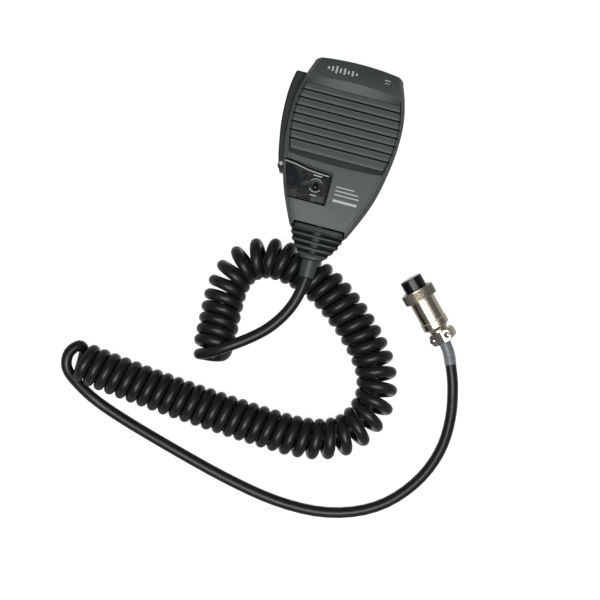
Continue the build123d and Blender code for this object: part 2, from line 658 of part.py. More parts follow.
def coupling_ring():
    """Knurled ring that screws the plug to its socket."""
    front, back = RING_S
    return turned(((RING_BORE_R, front), (RING_R - 0.35, front), (RING_R, front + 0.35),
                   (RING_R, back - 0.35), (RING_R - 0.35, back), (LIP_R, back),
                   (LIP_R, LIP_S), (RING_BORE_R, LIP_S)))


def ring_retainer():
    """Flat wire ring that keeps the coupling ring on the neck."""
    front, back = RETAINER_S
    return turned(((LIP_R, front), (RETAINER_R, front), (RETAINER_R, back), (LIP_R, back)))


def main():
    os.makedirs("parts", exist_ok=True)
    parts = {
        "front_shell": front_shell(),
        "back_shell": back_shell(),
        "grille": grille(),
        "switch_panel": switch_panel(),
        "lock_knob": lock_knob(),
        "lock_switch": lock_switch(),
        "ptt_lever": ptt_lever(),
        "ptt_pin": ptt_pin(),
        "ptt_spring": ptt_spring(),
        "ptt_switch": ptt_switch(),
        "ptt_plunger": ptt_plunger(),
        "circuit_board": circuit_board(),
        "mic_capsule": mic_capsule(),
        "capsule_holder": capsule_holder(),
        "case_screws": screws(CASE_SCREWS, WELL_SEAT, 26.0, 2.3, 1.6, 1.15),
        "board_screws": screws(BOARD_POSTS, BOARD_Z[0], 30.0, 1.7, 1.2, 0.85),
        "hanger_button": hanger_button(),
        "hanger_screw": hanger_screw(),
        "cord_boot": cord_boot(),
        "cord_inner": cord_inner(),
        "cord_cleat": cord_cleat(),
        "cleat_screws": screws(CLEAT_SCREWS, 23.4, 29.6, 1.6, 1.1, 0.85),
        "inner_wires": inner_wires(),
        "plug_insert": plug_insert(),
        "plug_contacts": plug_contacts(),
        "plug_barrel": plug_barrel(),
        "barrel_screw": barrel_screw(),
        "plug_rear_shell": plug_rear_shell(),
        "clamp_saddle": clamp_saddle(),
        "clamp_screws": clamp_screws(),
        "coupling_ring": coupling_ring(),
        "ring_retainer": ring_retainer(),
    }
    for name, x in (("up", -KEY_X), ("down", KEY_X)):
        parts[f"{name}_button"] = key_button(x)
        parts[f"{name}_switch"] = key_switch(x)
        parts[f"{name}_plunger"] = key_plunger(x)

    plug_lead = (*PLUG_LEAD, on_axis(EXIT_S), on_axis(CORD_START_S))
    sleeve = (on_axis(SLEEVE_START_S), on_axis(EXIT_S), PLUG_LEAD[-1],
              tuple(Vector(*PLUG_LEAD[-1]) * 0.5 + Vector(*PLUG_LEAD[-2]) * 0.5))
    stretches = {"cord_lead_mic": (MIC_LEAD, CORD_R), "curly_cord": (COIL_ROUTE, COIL_R),
                 "cord_lead_plug": (plug_lead, CORD_R)}
    for name, (points, radius) in stretches.items():
        parts[name], length = tube(points, radius)
        share = parts[name].volume / (pi * radius ** 2 * length)
        print(f"{name}: length {length:.1f}, volume over section times length {share:.4f}, radii",
              [round(r) for r in bends(points)])
    last, before_last = bends(plug_lead)[:-3:-1]
    parts["clear_sleeve"], _ = tube(sleeve, SLEEVE_R, CORD_R + 0.05, [last, before_last])

    for name, shape in parts.items():
        export_step(shape, f"parts/{name}.step")
    print("plug tilt", round(degrees(plug_tilt), 2), "axis", [round(v, 5) for v in plug_axis],
          "front", [round(v, 3) for v in on_axis(0)])


main()
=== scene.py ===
"""A hand microphone with a curly cord and a screw-on plug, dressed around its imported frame.

Lengths are metres. The origin is the middle of the hanger button's face, +Y runs to the top
end and +Z comes out of the front face.
"""
import json
import logging
from dataclasses import dataclass
from enum import Enum
from math import ceil, cos, pi, radians, sin, tau

import bmesh
import bpy
from mathutils import Matrix, Vector, noise
from mathutils.bvhtree import BVHTree


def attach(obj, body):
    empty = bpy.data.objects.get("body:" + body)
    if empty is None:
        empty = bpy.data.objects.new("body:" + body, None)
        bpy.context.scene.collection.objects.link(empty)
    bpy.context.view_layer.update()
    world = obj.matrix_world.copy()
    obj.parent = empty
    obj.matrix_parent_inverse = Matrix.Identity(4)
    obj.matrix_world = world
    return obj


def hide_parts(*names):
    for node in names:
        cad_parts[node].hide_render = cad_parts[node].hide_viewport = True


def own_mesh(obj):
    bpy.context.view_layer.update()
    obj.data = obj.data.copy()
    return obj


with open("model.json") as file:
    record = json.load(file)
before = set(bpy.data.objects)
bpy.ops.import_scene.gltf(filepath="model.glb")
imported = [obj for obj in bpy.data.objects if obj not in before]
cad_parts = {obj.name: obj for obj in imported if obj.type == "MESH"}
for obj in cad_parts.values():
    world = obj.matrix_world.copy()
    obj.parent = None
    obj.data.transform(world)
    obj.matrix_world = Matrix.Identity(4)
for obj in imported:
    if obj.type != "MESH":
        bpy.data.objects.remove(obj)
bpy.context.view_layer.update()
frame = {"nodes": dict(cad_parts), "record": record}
MM = 0.001
WELD = 1e-6              # metres within which two points are one
NOSE_FRONT = 3.4         # millimetres from the nose's mount to its front
log = logging.getLogger("hand_microphone")


class Body(Enum):
    """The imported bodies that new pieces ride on."""

    CASE = "case"
    RING = "ring"


# ---- Shader kit ----
class Value:
    """A shader socket that takes part in Python arithmetic."""

    def __init__(self, nodes: "Nodes", socket: bpy.types.NodeSocket) -> None:
        """Wrap one output socket of a material."""
        self.nodes, self.socket = nodes, socket

    def __add__(self, other: "Value | float") -> "Value":
        """Add a value or a number."""
        return self.nodes.maths("ADD", self, other)

    def __sub__(self, other: "Value | float") -> "Value":
        """Take away a value or a number."""
        return self.nodes.maths("SUBTRACT", self, other)

    def __rsub__(self, other: float) -> "Value":
        """Take this value away from a number."""
        return self.nodes.maths("SUBTRACT", other, self)

    def __mul__(self, other: "Value | float") -> "Value":
        """Multiply by a value or a number."""
        return self.nodes.maths("MULTIPLY", self, other)

    def __truediv__(self, other: "Value | float") -> "Value":
        """Divide by a value or a number."""
        return self.nodes.maths("DIVIDE", self, other)

    __radd__ = __add__
    __rmul__ = __mul__

    def band(self, low: float, high: float) -> "Value":
        """Rise from 0 at low to 1 at high, or fall if high is the smaller.

        Args:
            low: value that gives 0.
            high: value that gives 1.

        Returns:
            The clamped ramp.
        """
        return self.nodes.maths("MULTIPLY", self - low, 1 / (high - low), clamp=True)


class Nodes:
    """The nodes of one material, with a Principled shader at their end."""

    def __init__(self, name: str) -> None:
        """Start a material of that name.

        Args:
            name: the material's name.
        """
        self.material = bpy.data.materials.new(name)
        self.material.use_nodes = True
        self.tree = self.material.node_tree
        self.shader = self.tree.nodes["Principled BSDF"]
        self.place = self.read("TexCoord", "Object")

    def node(self, kind: str, settings: dict | None = None,
             inputs: dict | None = None) -> bpy.types.Node:
        """Add a node.

        Args:
            kind: the node's type, without its ShaderNode prefix.
            settings: its properties; "stops" gives a ramp's (position, grey) pairs.
            inputs: values or links of its sockets, by name or number.

        Returns:
            The new node.
        """
        made = self.tree.nodes.new("ShaderNode" + kind)
        for name, value in (settings or {}).items():
            if name == "stops":
                for stop, (position, grey) in zip(made.color_ramp.elements, value):
                    stop.position, stop.color = position, (grey, grey, grey, 1)
            else:
                setattr(made, name, value)
        for name, value in (inputs or {}).items():
            self.feed(made.inputs[name], value)
        return made

    def feed(self, socket: bpy.types.NodeSocket, value: "Value | float | tuple") -> None:
        """Link a value to a socket, or set the socket to a constant.

        Args:
            socket: the socket that takes it.
            value: a value to link, or a number or colour to set.
        """
        if isinstance(value, Value):
            self.tree.links.new(value.socket, socket)
        elif isinstance(value, tuple) and socket.type == "RGBA":
            socket.default_value = (*value[:3], 1.0)
        else:
            socket.default_value = value

    def read(self, kind: str, output: str | int, settings: dict | None = None,
             inputs: dict | None = None) -> Value:
        """Add a node and take one of its outputs."""
        return Value(self, self.node(kind, settings, inputs).outputs[output])

    def maths(self, operation: str, *values: "Value | float", clamp: bool = False) -> Value:
        """Add a Math node on values or numbers."""
        return self.read("Math", 0, {"operation": operation, "use_clamp": clamp},
                         dict(enumerate(values)))

    def noise(self, size: float, detail: float = 3.0, rough: float = 0.55,
              stretch: tuple = (1, 1, 1), turn: tuple = (0, 0, 0)) -> Value:
        """Noise on object coordinates.

        Args:
            size: size of its features, in metres.
            detail: octaves.
            rough: share of the finer octaves.
            stretch: how much longer the features are along each axis.
            turn: Euler angles of those axes.

        Returns:
            The noise, around 0.5.
        """
        scale = tuple(1 / (size * s) for s in stretch)
        place = self.read("Mapping", 0, {"vector_type": "TEXTURE"},
                          {"Vector": self.place, "Rotation": turn})
        place = self.read("Mapping", 0, {}, {"Vector": place, "Scale": scale})
        return self.read("TexNoise", 0, {}, {"Vector": place, "Scale": 1.0, "Detail": detail,
                                             "Roughness": rough})

    def mix(self, share: "Value | float", first: "Value | tuple",
            second: "Value | tuple") -> Value:
        """Mix two colours."""
        return self.read("Mix", 2, {"data_type": "RGBA"}, {0: share, 6: first, 7: second})

    def bump(self, height: Value, depth: float, rounding: float = 0.0) -> Value:
        """Bump from a height, in metres for a height of 1, over edges rounded by a radius.

        Args:
            height: the height.
            depth: metres that a height of 1 stands for.
            rounding: radius of the edges, in metres.

        Returns:
            The bumped normal.
        """
        inputs = {"Height": height, "Distance": depth, "Strength": 1.0}
        if rounding:
            inputs["Normal"] = self.read("Bevel", 0, {"samples": 4}, {"Radius": rounding})
        return self.read("Bump", 0, {}, inputs)

    def shade(self, inputs: dict) -> bpy.types.Material:
        """Set the shader's sockets and give back the material."""
        for name, value in inputs.items():
            self.feed(self.shader.inputs[name], value)
        return self.material


def tint(colour: tuple, by: float) -> tuple:
    """A lighter or darker shade of a colour."""
    return tuple(min(1.0, c * by) for c in colour)


# ---- Finishes ----
@dataclass(frozen=True)
class Finish:
    """What every finish has: a name, a linear colour and a roughness."""

    name: str
    colour: tuple = (0.05, 0.05, 0.05)
    roughness: float = 0.5

    def sockets(self, nodes: Nodes) -> dict:
        """The shader's sockets; each kind of finish gives its own."""
        raise NotImplementedError

    def material(self) -> bpy.types.Material:
        """The finish's material, made at its first use.

        Returns:
            The material.
        """
        found = bpy.data.materials.get(f"{self.name}_dressed")
        if found:
            return found
        nodes = Nodes(f"{self.name}_dressed")
        return nodes.shade(self.sockets(nodes))


@dataclass(frozen=True)
class Moulding(Finish):
    """Spark-textured moulded plastic with handling marks."""

    grain: float = 0.00035
    depth: float = 0.000012
    rounding: float = 0.0
    gloss: float = 0.5

    def sockets(self, nodes: Nodes) -> dict:
        """Mottled colour, fine grain and faint scuffs.

        Args:
            nodes: the material's nodes.

        Returns:
            The shader's sockets.
        """
        cloud = nodes.noise(0.014, 4)
        grain = nodes.noise(self.grain, 2, 0.6)
        scuff = nodes.noise(0.0012, 3, 0.7, stretch=(9, 1, 1), turn=(0, 0, 0.6)).band(0.66, 0.74)
        rough = self.roughness + (cloud - 0.5) * 0.16 - scuff * 0.12 + (grain - 0.5) * 0.1
        shade = cloud * 0.7 + grain * 0.3
        return {"Base Color": nodes.mix(shade, tint(self.colour, 0.8), tint(self.colour, 1.22)),
                "Roughness": rough, "Specular IOR Level": self.gloss,
                "Normal": nodes.bump(grain, self.depth, self.rounding)}


@dataclass(frozen=True)
class Polished(Finish):
    """Polished black moulding with a clear skin and fine swirls."""

    coat: float = 1.0
    rounding: float = 0.0

    def sockets(self, nodes: Nodes) -> dict:
        """Glossy coat over a deep colour, with smudges in the roughness.

        Args:
            nodes: the material's nodes.

        Returns:
            The shader's sockets.
        """
        smudge = nodes.noise(0.006, 4).band(0.5, 0.8)
        wave = nodes.noise(0.004, 1)
        return {"Base Color": nodes.mix(smudge, self.colour, tint(self.colour, 1.6)),
                "Roughness": self.roughness + smudge * 0.12, "Coat Weight": self.coat,
                "Coat Roughness": 0.04,
                "Normal": nodes.bump(wave, 0.00002, self.rounding)}


@dataclass(frozen=True)
class SoftRubber(Finish):
    """Soft rubber or cord jacket: satin, faintly dusty, with a fine skin."""

    dust: float = 0.25
    gloss: float = 0.5
    rounding: float = 0.0

    def sockets(self, nodes: Nodes) -> dict:
        """Satin colour with dust that lies in patches.

        Args:
            nodes: the material's nodes.

        Returns:
            The shader's sockets.
        """
        patch = nodes.noise(0.009, 5, 0.65)
        speck = nodes.noise(0.0009, 2, 0.5).band(0.68, 0.78)
        skin = nodes.noise(0.0004, 2)
        light = patch.band(0.45, 0.8) * self.dust + speck * (self.dust * 0.8)
        return {"Base Color": nodes.mix(light, self.colour, tint(self.colour, 3.2)),
                "Roughness": self.roughness + (patch - 0.5) * 0.2 + (skin - 0.5) * 0.08,
                "Specular IOR Level": self.gloss,
                "Normal": nodes.bump(skin + patch * 2.0, 0.00001, self.rounding)}


@dataclass(frozen=True)
class Plated(Finish):
    """Plated or bare metal, turned on a lathe."""

    turned: bool = True
    rounding: float = 0.0
    tool_marks: float = 0.000004

    def sockets(self, nodes: Nodes) -> dict:
        """Fine turning lines about the plug's axis, or brushed grain, and dull patches.

        Args:
            nodes: the material's nodes.

        Returns:
            The shader's sockets.
        """
        if self.turned:
            lines = nodes.noise(0.0002, 2, 0.7, stretch=(60, 60, 1), turn=plug_turn())
        else:
            lines = nodes.noise(0.0003, 3, 0.6, stretch=(20, 1, 1))
        cloud = nodes.noise(0.004, 4)
        return {"Base Color": nodes.mix(cloud, tint(self.colour, 0.86), tint(self.colour, 1.08)),
                "Metallic": 1.0,
                "Roughness": self.roughness + (cloud - 0.5) * 0.14 + (lines - 0.5) * 0.12,
                "Normal": nodes.bump(lines, self.tool_marks, self.rounding)}


@dataclass(frozen=True)
class ClearSkin(Finish):
    """Clear soft tube, a little cloudy."""

    def sockets(self, nodes: Nodes) -> dict:
        """Transparent with a cloudy skin.

        Args:
            nodes: the material's nodes.

        Returns:
            The shader's sockets.
        """
        cloud = nodes.noise(0.003, 4)
        return {"Base Color": nodes.mix(cloud, tint(self.colour, 0.85), self.colour),
                "Roughness": self.roughness + cloud * 0.15, "IOR": 1.45,
                "Alpha": cloud * 0.34 + 0.16, "Specular IOR Level": 0.8,
                "Normal": nodes.bump(cloud, 0.0001)}


@dataclass(frozen=True)
class Laminate(Finish):
    """Circuit board: solder mask over copper tracks."""

    def sockets(self, nodes: Nodes) -> dict:
        """Tracks that stand out a shade lighter under the mask.

        Args:
            nodes: the material's nodes.

        Returns:
            The shader's sockets.
        """
        track = nodes.read("TexBrick", 1, {"offset": 0.5},
                           {"Vector": nodes.place, "Scale": 210.0, "Mortar Size": 0.16,
                            "Mortar Smooth": 0.1})
        cloud = nodes.noise(0.01, 3)
        return {"Base Color": nodes.mix(track, self.colour, tint(self.colour, 2.2)),
                "Roughness": self.roughness + cloud * 0.15, "Coat Weight": 0.4,
                "Normal": nodes.bump(track, 0.00003)}


@dataclass(frozen=True)
class Wires(Finish):
    """Insulated conductors, each of its own colour across the row."""

    spacing: float = 0.0012

    def sockets(self, nodes: Nodes) -> dict:
        """Two colours that take turns across the row.

        Args:
            nodes: the material's nodes.

        Returns:
            The shader's sockets.
        """
        across = nodes.read("SeparateXYZ", 0, {}, {0: nodes.place})
        even = nodes.maths("SINE", across * (pi / self.spacing)).band(-0.05, 0.05)
        cloud = nodes.noise(0.002, 3)
        return {"Base Color": nodes.mix(even, self.colour, (0.55, 0.53, 0.5)),
                "Roughness": self.roughness + cloud * 0.2,
                "Normal": nodes.bump(cloud, 0.00001)}


CASE_GREY = Moulding("case_grey", (0.058, 0.070, 0.071), 0.42, rounding=0.0004)
GRILLE_GREY = Moulding("grille_grey", (0.062, 0.074, 0.075), 0.44)
# Near-black laid on groove floors, notch floors and the wall along the gloss panel: painted shade
# in those recesses, not a colour of the plastic.
RECESS_SHADE = Moulding("recess_painted_shade", (0.010, 0.011, 0.011), 0.7, gloss=0.2)
LEVER_BLACK = Moulding("lever_black", (0.016, 0.021, 0.024), 0.36, depth=0.000006,
                       rounding=0.0004)
INNER_BLACK = Moulding("inner_black", (0.012, 0.012, 0.013), 0.5, rounding=0.0002)
SILICONE = SoftRubber("silicone", (0.03, 0.03, 0.032), 0.6)
PANEL_BLACK = Polished("panel_black", (0.006, 0.009, 0.011), 0.08, coat=0.5,
                       rounding=0.0002)
LIP_BLACK = Polished("lip_black", (0.022, 0.026, 0.028), 0.14, coat=1.0)
KNOB_BLACK = Polished("knob_black", (0.006, 0.006, 0.007), 0.2, rounding=0.0001)
NOSE_BLACK = Polished("nose_black", (0.004, 0.004, 0.005), 0.2, coat=0.0)
BOOT_RUBBER = SoftRubber("boot_rubber", (0.056, 0.066, 0.068), 0.44, dust=0.12)
INK = Moulding("printed_ink", (0.62, 0.68, 0.64), 0.55, depth=0.000002)
CORD_BLACK = SoftRubber("cord_jacket", (0.0105, 0.0125, 0.013), 0.34, dust=0.12)
NICKEL = Plated("nickel", (0.72, 0.655, 0.53), 0.2)
RING_NICKEL = Plated("ring_nickel", (0.68, 0.63, 0.54), 0.27, tool_marks=0.000002)
CAST_NICKEL = Plated("cast_nickel", (0.68, 0.63, 0.53), 0.24, turned=False)
BRIGHT = Plated("bright_nickel", (0.74, 0.70, 0.61), 0.18, turned=False)
SATIN = Plated("satin_nickel", (0.92, 0.88, 0.80), 0.55, turned=False)
STEEL = Plated("steel", (0.55, 0.55, 0.54), 0.28, turned=False)
PIN_STEEL = Plated("pin_steel", (0.5, 0.5, 0.5), 0.4, turned=False)
GOLD = Plated("gold", (0.80, 0.60, 0.28), 0.22, turned=False)
CAN = Plated("capsule_can", (0.72, 0.72, 0.73), 0.3, turned=False)
CLEAR = ClearSkin("clear_sleeve", (0.50, 0.54, 0.57), 0.1)
BOARD = Laminate("board", (0.012, 0.055, 0.02), 0.4)
WIRES = Wires("wires", (0.28, 0.02, 0.015), 0.45)


# ---- Mesh kit ----
def mount(name: str) -> dict:
    """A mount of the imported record."""
    return next(m for m in frame["record"]["mounts"] if m["name"] == name)


def plug_frame() -> Matrix:
    """Place of the plug: its origin at the nose's front, +Z back along its axis.

    Returns:
        The place as a matrix.
    """
    nose = mount("plug_nose")
    forward = Vector(nose["axis"]).normalized()
    z = -forward
    x = Vector((0, 0, 1)).cross(z).normalized()
    y = z.cross(x)
    place = Matrix((x, y, z)).transposed().to_4x4()
    place.translation = Vector(nose["pos_m"]) + forward * NOSE_FRONT * MM
    return place


def plug_turn() -> tuple:
    """The plug's place as Euler angles, for patterns that follow its axis."""
    return tuple(plug_frame().to_euler())


def make_piece(name: str, bm: bmesh.types.BMesh, finish: Finish, body: Body,
               nodes: tuple = (), crease: float = 32.0,
               others: tuple = ()) -> bpy.types.Object:
    """Make a bmesh a finished piece that rides on a body.

    Args:
        name: the piece's name.
        bm: its mesh, in place; it is freed.
        finish: what it is dressed in.
        body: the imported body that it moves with.
        nodes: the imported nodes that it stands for.
        crease: degrees past which an edge is shaded sharp.
        others: finishes of the faces with material index 1 and up.

    Returns:
        The new object.
    """
    mesh = bpy.data.meshes.new(name)
    bm.to_mesh(mesh)
    bm.free()
    mesh.polygons.foreach_set("use_smooth", [True] * len(mesh.polygons))
    mesh.set_sharp_from_angle(angle=radians(crease))
    for worn in (finish, *others):
        mesh.materials.append(worn.material())
    piece = bpy.data.objects.new(name, mesh)
    bpy.context.scene.collection.objects.link(piece)
    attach(piece, body.value)
    if nodes:
        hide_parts(*nodes)
    log.info("%s: %d faces on %s", name, len(mesh.polygons), body.value)
    return piece


def dress(finish: Finish, *names: str) -> None:
    """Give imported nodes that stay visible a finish.

    Args:
        finish: the finish.
        names: the nodes.
    """
    for name in names:
        node = frame["nodes"][name]
        node.data.materials.clear()
        node.data.materials.append(finish.material())
        log.info("%s: dressed in %s", name, finish.name)


def spun(profile: list, steps: int = 96, corner: float = 0.0) -> bmesh.types.BMesh:
    """Closed solid of revolution about +Z.

    Args:
        profile: (radius, height) points in millimetres, a closed outline unless both of
            its ends lie on the axis.
        steps: faces round the axis.
        corner: millimetres by which sharp rings are rounded.

    Returns:
        The mesh, in metres.
    """
    bm = bmesh.new()
    verts = [bm.verts.new((r * MM, 0, z * MM)) for r, z in profile]
    closed = not (profile[0][0] == 0 and profile[-1][0] == 0)
    pairs = list(zip(verts, verts[1:])) + ([(verts[-1], verts[0])] if closed else [])
    edges = [bm.edges.new(pair) for pair in pairs]
    bmesh.ops.spin(bm, geom=verts + edges, cent=(0, 0, 0), axis=(0, 0, 1), angle=tau,
                   steps=steps, use_merge=True)
    bmesh.ops.remove_doubles(bm, verts=bm.verts, dist=WELD)
    bmesh.ops.recalc_face_normals(bm, faces=bm.faces)
    if corner:
        soften(bm, corner)
    return bm


def tube(curve: bpy.types.Object) -> bmesh.types.BMesh:
    """Turn a bevelled curve into a mesh.

    Args:
        curve: the curve object, which is removed.

    Returns:
        Its mesh, welded, with its faces outwards.
    """
    mesh = bpy.data.meshes.new_from_object(curve)
    bm = bmesh.new()
    bm.from_mesh(mesh)
    bpy.data.objects.remove(curve)
    bpy.data.meshes.remove(mesh)
    bmesh.ops.remove_doubles(bm, verts=bm.verts, dist=WELD)
    bmesh.ops.recalc_face_normals(bm, faces=bm.faces)
    return bm


def push(bm: bmesh.types.BMesh, verts: list, along: tuple) -> list:
    """Push the face between some vertices into a solid.

    Args:
        bm: the mesh that holds them.
        verts: the face's corners in order.
        along: how far to push it, in metres.

    Returns:
        The vertices of the far end.
    """
    made = bmesh.ops.extrude_face_region(bm, geom=[bm.faces.new(verts)])["geom"]
    moved = [g for g in made if isinstance(g, bmesh.types.BMVert)]
    bmesh.ops.translate(bm, verts=moved, vec=along)
    return moved


def soften(bm: bmesh.types.BMesh, width: float, angle: float = 25.0, segments: int = 2) -> None:
    """Round the sharp edges of a mesh.

    Args:
        bm: the mesh.
        width: millimetres from the old edge to the rounding's side.
        angle: degrees past which an edge is sharp.
        segments: faces across the rounding.
    """
    sharp = [e for e in bm.edges if e.is_manifold and e.calc_face_angle() > radians(angle)]
    bmesh.ops.bevel(bm, geom=sharp, offset=width * MM, offset_type="OFFSET", segments=segments,
                    profile=0.5, affect="EDGES", clamp_overlap=True, material=-1)


# ---- Studio ----
@dataclass(frozen=True)
class Softbox:
    """A level rectangular light: its middle, side lengths, turn in degrees and radiance."""

    name: str
    place: tuple
    size: tuple
    turn: float
    radiance: float


BOXES = (
    Softbox("main", (0.05, -0.60, 1.3), (1.0, 0.80), 20.0, 5.0),
    Softbox("second", (0.42, 0.19, 1.3), (0.70, 0.24), 44.0, 2.6),
)


@dataclass
class Studio:
    """Camera straight above, a pale floor and soft lights."""

    height: float = 1.0
    aim: tuple = (0.0, -0.0816)
    turn: float = 14.6
    field: float = 0.3179
    sensor: float = 36.0
    glow: float = 0.92
    room: float = 0.13

    def camera(self) -> None:
        """Put the camera above the table, turned so that the microphone leans right."""
        data = bpy.data.cameras.new("camera")
        data.sensor_width = self.sensor
        data.lens = self.sensor * self.height / self.field
        camera = bpy.data.objects.new("camera", data)
        camera.location = (*self.aim, self.height)
        camera.rotation_euler = (0, 0, radians(self.turn))
        bpy.context.scene.collection.objects.link(camera)
        bpy.context.scene.camera = camera

    def floor(self) -> None:
        """Lay a wide pale floor that glows a little, as a light table does."""
        bm = bmesh.new()
        bmesh.ops.create_grid(bm, x_segments=1, y_segments=1, size=4.0)
        mesh = bpy.data.meshes.new("floor")
        bm.to_mesh(mesh)
        bm.free()
        nodes = Nodes("floor")
        paper = nodes.noise(0.05, 2)
        slant = nodes.read("LayerWeight", "Facing", {}, {"Blend": 0.5}).band(0.03, 0.28)
        mesh.materials.append(nodes.shade({
            "Base Color": nodes.mix(paper, (0.36, 0.36, 0.36), (0.40, 0.40, 0.40)),
            "Emission Color": nodes.mix(slant, (1.0, 1.0, 1.0), (0.16, 0.165, 0.17)),
            "Emission Strength": self.glow, "Roughness": 0.9}))
        mesh.transform(Matrix.Translation((0, 0, -0.0001)))
        floor = bpy.data.objects.new("floor", mesh)
        bpy.context.scene.collection.objects.link(floor)

    def light(self, box: "Softbox") -> None:
        """Hang a softbox, level, facing down.

        Args:
            box: the softbox.
        """
        data = bpy.data.lights.new(box.name, "AREA")
        data.shape = "RECTANGLE"
        data.size, data.size_y = box.size
        data.energy = box.radiance * pi * box.size[0] * box.size[1]
        lamp = bpy.data.objects.new(box.name, data)
        lamp.location = box.place
        lamp.rotation_euler = (0, 0, radians(box.turn))
        bpy.context.scene.collection.objects.link(lamp)

    def build(self) -> None:
        """Make the whole studio."""
        self.camera()
        self.floor()
        scene = bpy.context.scene
        scene.view_settings.view_transform = "Standard"
        world = bpy.data.worlds.new("studio")
        world.use_nodes = True
        world.node_tree.nodes["Background"].inputs["Color"].default_value = (0.94, 0.97, 1.0, 1)
        world.node_tree.nodes["Background"].inputs["Strength"].default_value = self.room
        scene.world = world
        for box in BOXES:
            self.light(box)


# ---- Cord ----
@dataclass
class Cord:
    """The whole cord in one piece: a lead from the boot, the curly stretch, a lead to the plug."""

    diameter: float = 5.8 * MM
    helix: float = 8.0 * MM           # radius of the turns' centreline
    touch: float = 5.95 * MM          # turns lie this far apart where they touch
    steps: int = 16                   # points in a turn
    first: float = -70.0              # degrees past the top at which the first turn starts
    last: float = 235.0               # degrees past the top at which the last turn ends
    length: float = 3.0
    lean: float = 2.9 * MM            # how far the first turns' tops lean along the cord
    upright: float = 62 * MM          # distance after which the turns stand upright
    squeeze: float = 0.62             # how far the first bend spreads the turns it closes up
    bent: float = 105 * MM            # distance over which that bend runs

    # Points along the lead from the boot, the middle of the curly stretch, and the lead to
    # the plug, in millimetres.
    mic_lead: tuple = ((0, -69.5, 28), (-0.7, -78, 27.6), (-4.4, -89, 26.2),
                       (-11.8, -100, 24.2), (-21.6, -108.4, 22.8), (-29.7, -114.0, 22.2),
                       (-36.9, -118.9, 19.6), (-42.6, -121.7, 15.0), (-44.8, -122.4, 10.0),
                       (-42.0, -122.3, 5.0), (-36.0, -121.8, 3.1), (-31.0, -120.2, 6.2))
    coil_route: tuple = ((-37.6, -117.1, 11), (-38.3, -102, 11), (-39.0, -84, 11),
                         (-34.5, -71.5, 11), (-24.5, -64.3, 11), (-10.5, -64.0, 11),
                         (5.5, -68.6, 11), (21, -78, 11), (37.5, -92.5, 11),
                         (49.5, -108.5, 11), (52, -126.5, 11), (42.5, -144.5, 11),
                         (23, -151.8, 11), (-6, -150.8, 11), (-40, -148.4, 11),
                         (-75, -145.2, 11), (-104, -141.6, 11))
    plug_lead: tuple = ((-105.5, -132.8, 10.5), (-110.8, -138.4, 12), (-110.0, -147.0, 11.5),
                        (-102.6, -153.4, 7.5), (-90.5, -160.6, 3.4), (-71, -167.2, 2.95),
                        (-45, -174.6, 2.95), (-15, -182.6, 2.95), (15, -188.2, 2.95),
                        (43, -187.6, 2.95), (67.5, -178, 2.95), (84, -160.5, 2.95),
                        (92.4, -141, 2.95), (93.2, -122, 2.95), (89.6, -104.6, 3.5),
                        (85.3, -94.2, 5.3))
    plug_ends: tuple = (41.5, 29.0)   # distances along the plug at which the cord is straight
    sleeve_ends: tuple = (3.2, 21.6)  # where the clear sleeve starts and ends along the lead
    sleeve_r: float = 3.32
    sleeve_wall: float = 0.34

    def smooth(self, name: str, points: list, resolution: int = 6) -> bpy.types.Object:
        """Open NURBS curve of order 3 with those control points.

        Args:
            name: the curve's name.
            points: control points in metres.
            resolution: steps between two points.

        Returns:
            A curve object that is not yet linked.
        """
        data = bpy.data.curves.new(name, "CURVE")
        data.dimensions = "3D"
        data.resolution_u = resolution
        spline = data.splines.new("NURBS")
        spline.points.add(len(points) - 1)
        for point, co in zip(spline.points, points):
            point.co = (*co, 1)
        spline.order_u = 3
        spline.use_endpoint_u = True
        spline.resolution_u = resolution
        return bpy.data.objects.new(name, data)

    def walk(self, points: list, resolution: int = 24) -> list[Vector]:
        """Points along the smooth line through a route, from its NURBS curve.

        Args:
            points: control points in metres.
            resolution: steps between two points.

        Returns:
            The points.
        """
        curve = self.smooth("route", points, resolution)
        mesh = bpy.data.meshes.new_from_object(curve)
        line = [v.co.copy() for v in mesh.vertices]
        bpy.data.meshes.remove(mesh)
        bpy.data.objects.remove(curve)
        return line

    def turns(self) -> list[Vector]:
        """Control points of the turns, which touch on the inside of every bend.

        Returns:
            The points in metres.
        """
        line = self.walk([Vector(p) * MM for p in self.coil_route])
        runs = [b - a for a, b in zip(line, line[1:]) if (b - a).length > 1e-7]
        starts = [a for a, b in zip(line, line[1:]) if (b - a).length > 1e-7]
        reach = 18                     # runs over which a bend is measured
        bends = []
        for k in range(len(runs)):
            low, high = max(0, k - reach), min(len(runs) - 1, k + reach)
            along = sum(run.length for run in runs[low:high]) or 1.0
            bends.append(runs[low].angle(runs[high]) / along)
        phases, gone = [radians(self.first)], 0.0
        for run, bend in zip(runs, bends):
            gone += run.length
            spread = self.helix * bend * (self.squeeze if gone < self.bent else 1.0)
            phases.append(phases[-1] + tau * run.length * (1 - spread) / self.touch)
        full = ceil((phases[-1] - radians(self.last)) / tau)
        stretch = (tau * full + radians(self.last) - phases[0]) / (phases[-1] - phases[0])
        phases = [phases[0] + (p - phases[0]) * stretch for p in phases]
        wide = self.helix / (0.75 + 0.25 * cos(tau / self.steps))
        points, step, k = [], tau / self.steps, 0
        phase = phases[0]
        while phase < phases[-1]:
            while phases[k + 1] < phase:
                k += 1
            share = (phase - phases[k]) / (phases[k + 1] - phases[k])
            ahead = runs[k].normalized()
            side = ahead.cross(Vector((0, 0, 1))).normalized()
            centre = starts[k] + runs[k] * share
            uneven = 1 + 0.012 * noise.noise(Vector((phase * 0.11, 0, 0)))
            arm = Vector((0, 0, 1)) * cos(phase) - side * sin(phase)
            done = (phase - phases[0]) / tau * self.touch / self.upright
            lean = ahead * (self.lean * max(0.0, 1 - done) * cos(phase))
            points.append(centre + arm * wide * uneven + lean)
            phase += step
        log.info("curly cord: %.1f turns", (phases[-1] - phases[0]) / tau)
        return points

